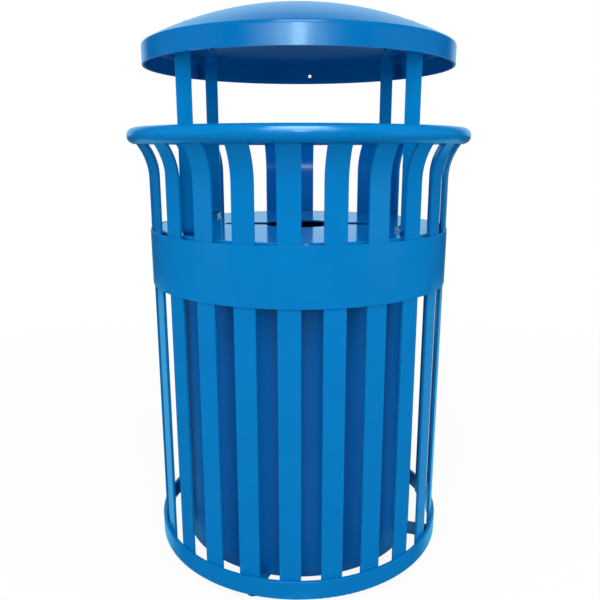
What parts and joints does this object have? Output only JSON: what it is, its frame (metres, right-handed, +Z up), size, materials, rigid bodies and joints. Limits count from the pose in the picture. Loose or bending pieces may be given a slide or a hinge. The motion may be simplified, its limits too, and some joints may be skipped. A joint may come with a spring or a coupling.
{
  "type": "outdoor recycling bin",
  "caption": "Round outdoor recycling bin: upright flat-bar slats flared to a tube rim, a plain sign band, a lift-out liner, and a flat slotted lid under a rain dome on straps.",
  "frame": {"origin": "on the floor, under the middle of the bin", "axes": "+Z up, -Y to the front, +X to the right as seen from the front"},
  "size_m": [0.6405, 0.6406, 1.0373],
  "materials": {
    "body_paint": "semi-gloss powder coat, blue",
    "lid_paint": "semi-gloss powder coat, blue",
    "liner_paint": "satin powder coat, blue",
    "zinc_hardware": "zinc plated",
    "glide_rubber": "moulded, dull"
  },
  "bodies": {
    "frame": {"slat_01": "body_paint", "slat_02": "body_paint", "slat_03": "body_paint", "slat_04": "body_paint", "slat_05": "body_paint", "slat_06": "body_paint", "slat_07": "body_paint", "slat_08": "body_paint", "slat_09": "body_paint", "slat_10": "body_paint", "slat_11": "body_paint", "slat_12": "body_paint", "slat_13": "body_paint", "slat_14": "body_paint", "slat_15": "body_paint", "slat_16": "body_paint", "slat_17": "body_paint", "slat_18": "body_paint", "slat_19": "body_paint", "slat_20": "body_paint", "slat_21": "body_paint", "slat_22": "body_paint", "slat_23": "body_paint", "slat_24": "body_paint", "rim_tube": "body_paint", "sign_band": "body_paint", "bottom_ring": "body_paint", "base_cross_bar": "body_paint", "base_half_bar_a": "body_paint", "base_half_bar_b": "body_paint", "foot_weld_nuts": "zinc_hardware"},
    "liner": {"liner_bucket": "liner_paint"},
    "lid": {"lid_disc": "lid_paint", "lid_collar": "lid_paint", "strap_left": "lid_paint", "strap_right": "lid_paint", "lid_bolts": "zinc_hardware", "lid_nuts": "zinc_hardware", "rain_dome": "lid_paint", "dome_studs": "lid_paint", "dome_spacers": "lid_paint", "dome_nuts": "lid_paint"},
    "foot_1": {"foot_stud_1": "zinc_hardware", "foot_pad_1": "glide_rubber"},
    "foot_2": {"foot_stud_2": "zinc_hardware", "foot_pad_2": "glide_rubber"},
    "foot_3": {"foot_stud_3": "zinc_hardware", "foot_pad_3": "glide_rubber"},
    "foot_4": {"foot_stud_4": "zinc_hardware", "foot_pad_4": "glide_rubber"}
  },
  "joints": [
    {"name": "liner_lift", "type": "slide", "parent": "frame", "child": "liner", "axis": [0, 0, 1], "range_m": [0, 0.82]},
    {"name": "lid_lift", "type": "slide", "parent": "liner", "child": "lid", "axis": [0, 0, 1], "range_m": [0, 0.25]},
    {"name": "foot_1_screw", "type": "slide", "parent": "frame", "child": "foot_1", "axis": [0, 0, 1], "range_m": [-0.012, 0]},
    {"name": "foot_2_screw", "type": "slide", "parent": "frame", "child": "foot_2", "axis": [0, 0, 1], "range_m": [-0.012, 0]},
    {"name": "foot_3_screw", "type": "slide", "parent": "frame", "child": "foot_3", "axis": [0, 0, 1], "range_m": [-0.012, 0]},
    {"name": "foot_4_screw", "type": "slide", "parent": "frame", "child": "foot_4", "axis": [0, 0, 1], "range_m": [-0.012, 0]}
  ]
}
